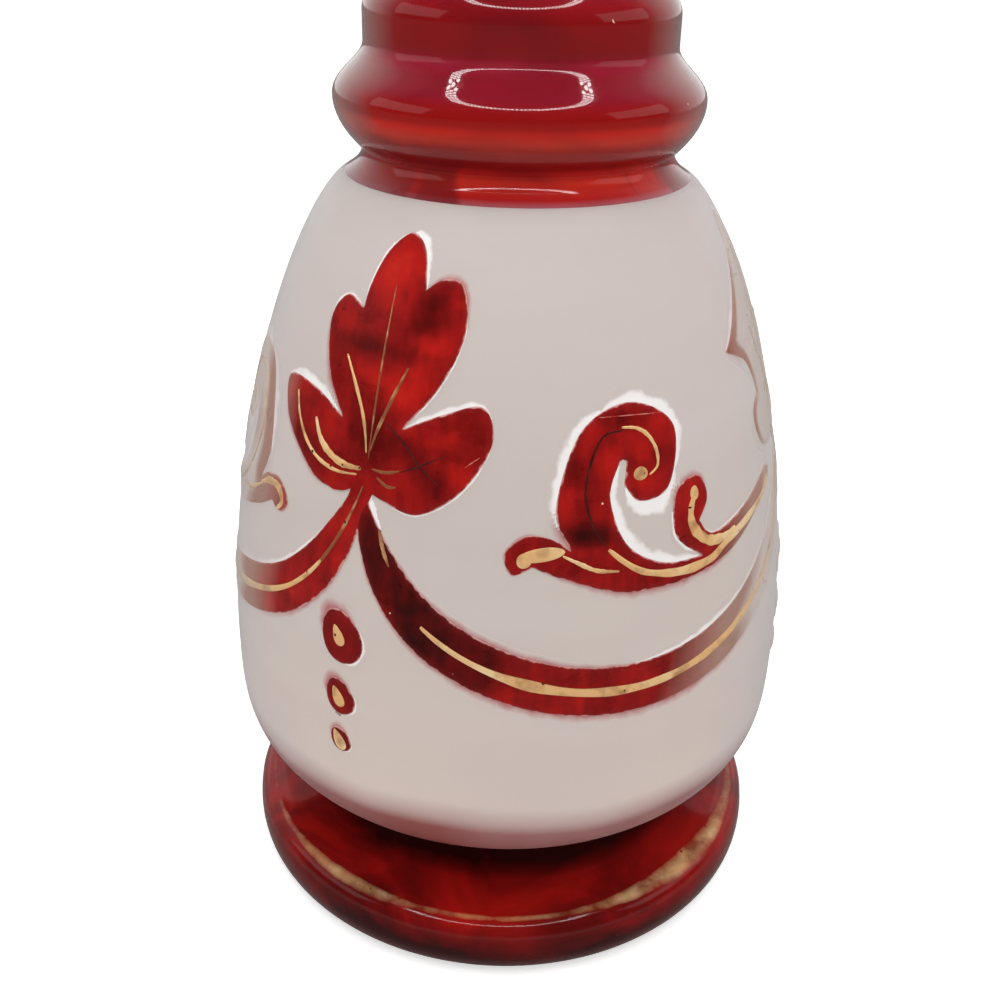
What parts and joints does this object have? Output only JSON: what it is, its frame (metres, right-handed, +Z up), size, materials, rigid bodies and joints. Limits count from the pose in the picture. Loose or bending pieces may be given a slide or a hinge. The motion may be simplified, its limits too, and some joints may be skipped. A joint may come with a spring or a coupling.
{
  "type": "decanter",
  "caption": "Footed glass decanter with a frosted bulb, ruby foot, stepped ruby neck, ruby leaf and swag relief, gilding and a ground stopper.",
  "frame": {"origin": "middle of the flat face that the foot stands on", "axes": "+Z up along the decanter's axis; -Y is the front that the picture shows"},
  "size_m": [0.0929, 0.0929, 0.2394],
  "materials": {
    "frosted_glass": "acid-etched satin",
    "ruby_glass": "polished",
    "ruby_relief": "glossy enamel in low relief",
    "gilding": "worn fired gilding",
    "ground_glass": "ground matt"
  },
  "bodies": {
    "vessel": {"foot": "ruby_glass", "body": "frosted_glass", "neck": "ruby_glass", "mouth": "ruby_glass", "foot_gilt_band": "gilding", "lip_gilt_band": "gilding", "leaf_1": "ruby_relief", "swag_1": "ruby_relief", "swag_gilt_1": "gilding", "scroll_1": "ruby_relief", "drop_1_large": "ruby_relief", "drop_1_middle": "ruby_relief", "drop_1_small": "ruby_relief", "leaf_2": "ruby_relief", "swag_2": "ruby_relief", "swag_gilt_2": "gilding", "scroll_2": "ruby_relief", "drop_2_large": "ruby_relief", "drop_2_middle": "ruby_relief", "drop_2_small": "ruby_relief", "leaf_3": "ruby_relief", "swag_3": "ruby_relief", "swag_gilt_3": "gilding", "scroll_3": "ruby_relief", "drop_3_large": "ruby_relief", "drop_3_middle": "ruby_relief", "drop_3_small": "ruby_relief"},
    "stopper": {"stopper_plug": "ground_glass", "stopper_finial": "ruby_glass", "stopper_gilt_band": "gilding"}
  },
  "joints": [
    {"name": "stopper_lift", "type": "slide", "parent": "vessel", "child": "stopper", "axis": [0, 0, 1], "range_m": [0, 0.06]}
  ]
}
